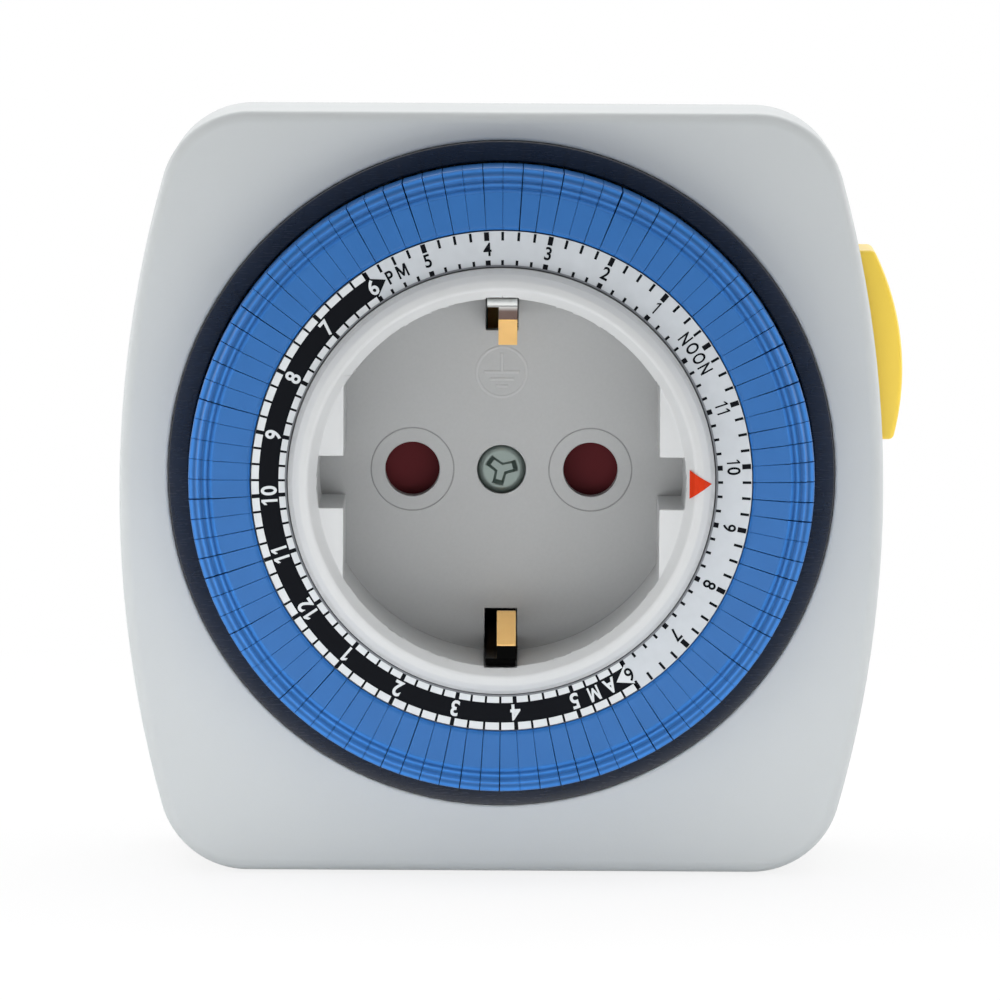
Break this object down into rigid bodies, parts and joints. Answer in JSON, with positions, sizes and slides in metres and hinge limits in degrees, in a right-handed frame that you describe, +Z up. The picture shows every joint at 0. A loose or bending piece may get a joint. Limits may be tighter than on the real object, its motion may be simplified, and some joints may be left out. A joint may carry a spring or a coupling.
{
  "type": "plug-in timer switch",
  "caption": "Plug-in mechanical timer switch: earthed plug behind, earthed socket in front, round it a turning day dial of push-in tappets, and a rocker that overrides the switch.",
  "frame": {"origin": "midway between the plug's two pins, on the flat end of the plug body", "axes": "+Y along the plug pins towards their tips, away from the socket; +Z up; +X to the right as seen from the front, towards the rocker"},
  "size_m": [0.0833, 0.0821, 0.081],
  "materials": {
    "case_plastic": "fine moulded texture",
    "socket_plastic": "smooth moulded",
    "dark_gloss_plastic": "polished",
    "blue_plastic": "semi-matt moulded",
    "dial_print": "printed black and white",
    "carrier_plastic": "natural moulded",
    "yellow_plastic": "smooth moulded",
    "red_plastic": "smooth moulded",
    "dark_red_plastic": "smooth moulded",
    "dark_moulding": "thermoset moulding",
    "plated_steel": "zinc plated",
    "nickel_plate": "nickel plated brass",
    "contact_brass": "rolled strip",
    "copper_winding": "enamelled wire"
  },
  "bodies": {
    "case": {"front_cover": "case_plastic", "rear_housing": "case_plastic", "bezel_ring": "dark_gloss_plastic", "housing_screws": "plated_steel", "socket_insert": "socket_plastic", "time_pointer": "red_plastic", "socket_screw": "plated_steel", "contact_block": "dark_moulding", "neutral_pin": "nickel_plate", "line_pin": "nickel_plate", "neutral_contact": "contact_brass", "line_contact": "contact_brass", "line_feed": "contact_brass", "front_earth_strap": "plated_steel", "rear_earth_strap": "plated_steel", "earth_rivet": "contact_brass", "switch_case": "dark_moulding", "switch_terminals": "contact_brass", "lever_pin": "plated_steel", "motor_can": "plated_steel", "motor_coil": "copper_winding", "gear_plate": "plated_steel", "plate_screws": "plated_steel", "transfer_axle": "plated_steel", "shutter_spring": "plated_steel"},
    "dial": {"dial_carrier": "carrier_plastic", "number_ring": "dial_print"},
    "tappets_00h": {"tappets_00h": "blue_plastic"},
    "tappets_01h": {"tappets_01h": "blue_plastic"},
    "tappets_02h": {"tappets_02h": "blue_plastic"},
    "tappets_03h": {"tappets_03h": "blue_plastic"},
    "tappets_04h": {"tappets_04h": "blue_plastic"},
    "tappets_05h": {"tappets_05h": "blue_plastic"},
    "tappets_06h": {"tappets_06h": "blue_plastic"},
    "tappets_07h": {"tappets_07h": "blue_plastic"},
    "tappets_08h": {"tappets_08h": "blue_plastic"},
    "tappets_09h": {"tappets_09h": "blue_plastic"},
    "tappets_10h": {"tappets_10h": "blue_plastic"},
    "tappets_11h": {"tappets_11h": "blue_plastic"},
    "tappets_12h": {"tappets_12h": "blue_plastic"},
    "tappets_13h": {"tappets_13h": "blue_plastic"},
    "tappets_14h": {"tappets_14h": "blue_plastic"},
    "tappets_15h": {"tappets_15h": "blue_plastic"},
    "tappets_16h": {"tappets_16h": "blue_plastic"},
    "tappets_17h": {"tappets_17h": "blue_plastic"},
    "tappets_18h": {"tappets_18h": "blue_plastic"},
    "tappets_19h": {"tappets_19h": "blue_plastic"},
    "tappets_20h": {"tappets_20h": "blue_plastic"},
    "tappets_21h": {"tappets_21h": "blue_plastic"},
    "tappets_22h": {"tappets_22h": "blue_plastic"},
    "tappets_23h": {"tappets_23h": "blue_plastic"},
    "rocker": {"override_rocker": "yellow_plastic"},
    "shutter": {"shutter": "dark_red_plastic"},
    "lever": {"switch_lever": "carrier_plastic"},
    "plunger": {"switch_plunger": "carrier_plastic"},
    "gear": {"transfer_gear": "carrier_plastic"},
    "motor": {"motor_rotor": "dark_moulding"}
  },
  "joints": [
    {"name": "dial_turn", "type": "hinge", "parent": "case", "child": "dial", "pos_m": [0, -0.052, 0], "axis": [0, 1, 0], "continuous": true},
    {"name": "override_rocker_tilt", "type": "hinge", "parent": "case", "child": "rocker", "pos_m": [0.0354, -0.04, 0.0135], "axis": [0, 1, 0], "range_deg": [-6, 0]},
    {"name": "shutter_turn", "type": "hinge", "parent": "case", "child": "shutter", "pos_m": [0, -0.0418, 0], "axis": [0, 1, 0], "range_deg": [-38, 0], "stiffness_Nm_per_rad": 0.002, "deforming": ["shutter_spring"]},
    {"name": "tappets_00h_push", "type": "slide", "parent": "dial", "child": "tappets_00h", "axis": [0, 1, 0], "range_m": [0, 0.003]},
    {"name": "tappets_01h_push", "type": "slide", "parent": "dial", "child": "tappets_01h", "axis": [0, 1, 0], "range_m": [0, 0.003]},
    {"name": "tappets_02h_push", "type": "slide", "parent": "dial", "child": "tappets_02h", "axis": [0, 1, 0], "range_m": [0, 0.003]},
    {"name": "tappets_03h_push", "type": "slide", "parent": "dial", "child": "tappets_03h", "axis": [0, 1, 0], "range_m": [0, 0.003]},
    {"name": "tappets_04h_push", "type": "slide", "parent": "dial", "child": "tappets_04h", "axis": [0, 1, 0], "range_m": [0, 0.003]},
    {"name": "tappets_05h_push", "type": "slide", "parent": "dial", "child": "tappets_05h", "axis": [0, 1, 0], "range_m": [0, 0.003]},
    {"name": "tappets_06h_push", "type": "slide", "parent": "dial", "child": "tappets_06h", "axis": [0, 1, 0], "range_m": [0, 0.003]},
    {"name": "tappets_07h_push", "type": "slide", "parent": "dial", "child": "tappets_07h", "axis": [0, 1, 0], "range_m": [0, 0.003]},
    {"name": "tappets_08h_push", "type": "slide", "parent": "dial", "child": "tappets_08h", "axis": [0, 1, 0], "range_m": [0, 0.003]},
    {"name": "tappets_09h_push", "type": "slide", "parent": "dial", "child": "tappets_09h", "axis": [0, 1, 0], "range_m": [0, 0.003]},
    {"name": "tappets_10h_push", "type": "slide", "parent": "dial", "child": "tappets_10h", "axis": [0, 1, 0], "range_m": [0, 0.003]},
    {"name": "tappets_11h_push", "type": "slide", "parent": "dial", "child": "tappets_11h", "axis": [0, 1, 0], "range_m": [0, 0.003]},
    {"name": "tappets_12h_push", "type": "slide", "parent": "dial", "child": "tappets_12h", "axis": [0, 1, 0], "range_m": [0, 0.003]},
    {"name": "tappets_13h_push", "type": "slide", "parent": "dial", "child": "tappets_13h", "axis": [0, 1, 0], "range_m": [0, 0.003]},
    {"name": "tappets_14h_push", "type": "slide", "parent": "dial", "child": "tappets_14h", "axis": [0, 1, 0], "range_m": [0, 0.003]},
    {"name": "tappets_15h_push", "type": "slide", "parent": "dial", "child": "tappets_15h", "axis": [0, 1, 0], "range_m": [0, 0.003]},
    {"name": "tappets_16h_push", "type": "slide", "parent": "dial", "child": "tappets_16h", "axis": [0, 1, 0], "range_m": [0, 0.003]},
    {"name": "tappets_17h_push", "type": "slide", "parent": "dial", "child": "tappets_17h", "axis": [0, 1, 0], "range_m": [0, 0.003]},
    {"name": "tappets_18h_push", "type": "slide", "parent": "dial", "child": "tappets_18h", "axis": [0, 1, 0], "range_m": [0, 0.003]},
    {"name": "tappets_19h_push", "type": "slide", "parent": "dial", "child": "tappets_19h", "axis": [0, 1, 0], "range_m": [0, 0.003]},
    {"name": "tappets_20h_push", "type": "slide", "parent": "dial", "child": "tappets_20h", "axis": [0, 1, 0], "range_m": [0, 0.003]},
    {"name": "tappets_21h_push", "type": "slide", "parent": "dial", "child": "tappets_21h", "axis": [0, 1, 0], "range_m": [0, 0.003]},
    {"name": "tappets_22h_push", "type": "slide", "parent": "dial", "child": "tappets_22h", "axis": [0, 1, 0], "range_m": [0, 0.003]},
    {"name": "tappets_23h_push", "type": "slide", "parent": "dial", "child": "tappets_23h", "axis": [0, 1, 0], "range_m": [0, 0.003]},
    {"name": "switch_lever_swing", "type": "hinge", "parent": "case", "child": "lever", "pos_m": [0.0235, -0.0386, 0.0278], "axis": [0, 0, 1], "range_deg": [-12, 1]},
    {"name": "switch_plunger_press", "type": "slide", "parent": "case", "child": "plunger", "axis": [0, 1, 0], "range_m": [0, 0.0014]},
    {"name": "transfer_gear_turn", "type": "hinge", "parent": "case", "child": "gear", "pos_m": [0.02673, -0.045, -0.02673], "axis": [0, 1, 0], "continuous": true},
    {"name": "motor_rotor_turn", "type": "hinge", "parent": "case", "child": "motor", "pos_m": [0.019, -0.036, -0.0288], "axis": [0, 1, 0], "continuous": true}
  ],
  "couplings": [
    {"joint": "transfer_gear_turn", "follows": "dial_turn", "ratio": -8},
    {"joint": "motor_rotor_turn", "follows": "dial_turn", "ratio": 24},
    {"joint": "switch_lever_swing", "follows": "tappets_14h_push", "rad_per_m": -64.3},
    {"joint": "switch_plunger_press", "follows": "tappets_14h_push", "ratio": 0.36}
  ]
}
